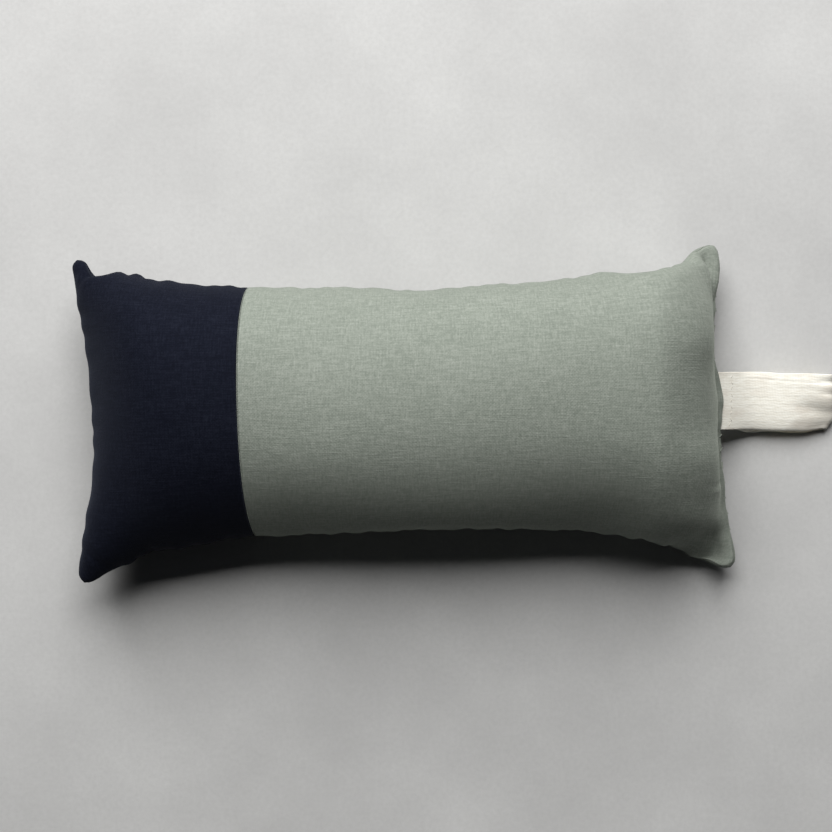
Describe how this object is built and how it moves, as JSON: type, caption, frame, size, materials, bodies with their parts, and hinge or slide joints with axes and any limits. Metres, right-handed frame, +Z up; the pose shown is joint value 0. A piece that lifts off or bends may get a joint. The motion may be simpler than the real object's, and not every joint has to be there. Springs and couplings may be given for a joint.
{
  "type": "eye pillow",
  "caption": "Oblong stuffed linen pillow in two colours, with a folded tape loop in one end seam and a loose seed filling in an inner bag.",
  "frame": {"origin": "middle of the flat face that the filled pillow rests on, halfway along its length and width", "axes": "+X along the pillow towards the end with the hanging loop, +Y across it, +Z up from the surface that it rests on"},
  "size_m": [0.2628, 0.109, 0.0579],
  "materials": {
    "sage_linen": "matt plain-weave linen with slubs",
    "navy_linen": "matt plain-weave linen with slubs",
    "cotton_tape": "matt cotton twill tape",
    "dark_thread": "matt sewing thread",
    "sage_thread": "matt sewing thread",
    "natural_thread": "matt sewing thread",
    "muslin": "matt unbleached muslin",
    "seed": "satin flaxseed"
  },
  "bodies": {
    "pillow": {"front_sage_panel": "sage_linen", "front_navy_panel": "navy_linen", "back_sage_panel": "sage_linen", "back_navy_panel": "navy_linen", "front_join_thread": "dark_thread", "back_join_thread": "dark_thread", "edge_seam_thread": "dark_thread", "closing_stitches": "sage_thread", "inner_bag_front": "muslin", "inner_bag_back": "muslin", "inner_bag_thread": "natural_thread", "seed_filling": "seed", "loop_tails": "cotton_tape"},
    "loop": {"hanging_loop": "cotton_tape", "loop_tack_stitches": "natural_thread"}
  },
  "joints": [
    {"name": "loop_fold", "type": "hinge", "parent": "pillow", "child": "loop", "pos_m": [0.1083, 0.001, 0.014], "axis": [0, -1, 0], "range_deg": [0, 115]}
  ]
}
